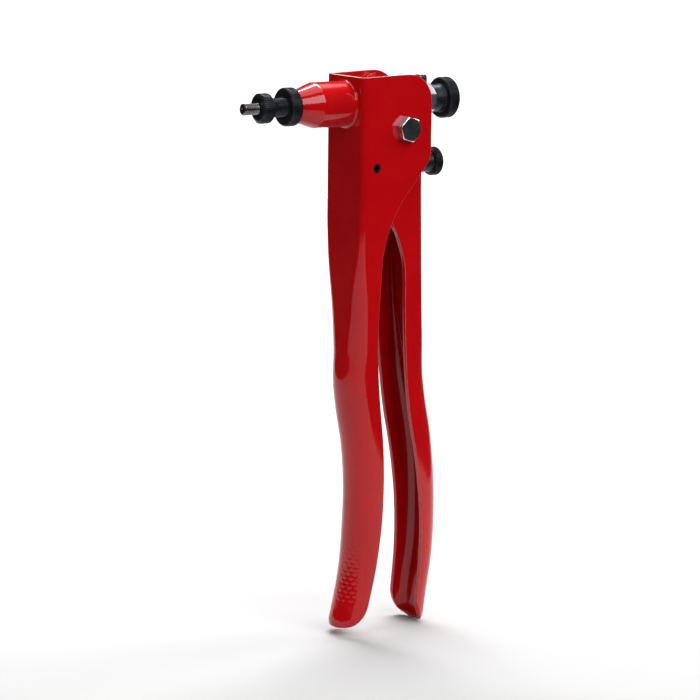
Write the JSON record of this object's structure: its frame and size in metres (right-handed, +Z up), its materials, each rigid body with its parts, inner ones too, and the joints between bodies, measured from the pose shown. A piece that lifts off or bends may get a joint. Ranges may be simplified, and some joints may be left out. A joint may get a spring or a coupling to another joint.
{
  "type": "hand riveter",
  "caption": "Two-handled hand riveter for threaded rivets: squeezing the handles draws a threaded mandrel back through a knurled nosepiece.",
  "frame": {"origin": "on the nose axis, in the plane of the nosepiece's front face where the rivet flange seats", "axes": "+X along the nose axis from the nosepiece to the rear knob, +Z up away from the handles, the bolt head at -Y"},
  "size_m": [0.1332, 0.048, 0.3044],
  "materials": {
    "red_enamel": "gloss enamel",
    "black_oxide": "satin black oxide",
    "zinc_plate": "bluish zinc plate",
    "bright_steel": "turned steel",
    "mandrel_steel": "hardened dark steel",
    "bronze": "sintered bronze",
    "nylon": "nylon"
  },
  "bodies": {
    "frame": {"fixed_handle": "red_enamel", "nose_tube": "red_enamel", "guide_bush": "bronze", "pivot_bolt": "zinc_plate", "pivot_washer": "zinc_plate", "pivot_nut": "zinc_plate", "nut_insert": "nylon", "pivot_sleeve": "bright_steel", "stop_pin": "black_oxide"},
    "nosepiece": {"nosepiece": "black_oxide"},
    "lock_ring": {"lock_ring": "black_oxide"},
    "moving_handle": {"moving_handle": "red_enamel", "pivot_bushes": "bronze", "adjuster_nut": "black_oxide"},
    "stroke_screw": {"stroke_screw": "black_oxide"},
    "stroke_knob": {"stroke_knob": "black_oxide"},
    "traction": {"return_plate": "zinc_plate", "spacer_sleeve": "bright_steel", "thrust_plate": "zinc_plate", "thrust_washer": "zinc_plate"},
    "spindle": {"spindle": "bright_steel", "mandrel": "mandrel_steel", "mandrel_coupling": "bright_steel", "retaining_ring": "black_oxide", "hex_nut": "zinc_plate", "spindle_knob": "black_oxide"}
  },
  "joints": [
    {"name": "handle_pivot", "type": "hinge", "parent": "frame", "child": "moving_handle", "pos_m": [0.083, 0, -0.0132], "axis": [0, -1, 0], "range_deg": [-6, 22]},
    {"name": "traction_slide", "type": "slide", "parent": "frame", "child": "traction", "axis": [1, 0, 0], "range_m": [-0.0053, 0.0015]},
    {"name": "spindle_turn", "type": "hinge", "parent": "traction", "child": "spindle", "pos_m": [0.0995, 0, 0], "axis": [1, 0, 0], "continuous": true},
    {"name": "nosepiece_turn", "type": "hinge", "parent": "frame", "child": "nosepiece", "pos_m": [0.01, 0, 0], "axis": [1, 0, 0], "continuous": true},
    {"name": "lock_ring_turn", "type": "hinge", "parent": "frame", "child": "lock_ring", "pos_m": [0.019, 0, 0], "axis": [1, 0, 0], "continuous": true},
    {"name": "stroke_slide", "type": "slide", "parent": "moving_handle", "child": "stroke_screw", "axis": [1, 0, 0], "range_m": [-0.0011, 0.0051]},
    {"name": "stroke_turn", "type": "hinge", "parent": "stroke_screw", "child": "stroke_knob", "pos_m": [0.11, 0, -0.0339], "axis": [1, 0, 0], "range_deg": [-360, 1800]}
  ],
  "couplings": [
    {"joint": "traction_slide", "follows": "handle_pivot", "m_per_rad": -0.013204},
    {"joint": "stroke_slide", "follows": "stroke_turn", "m_per_rad": 0.00015915}
  ]
}
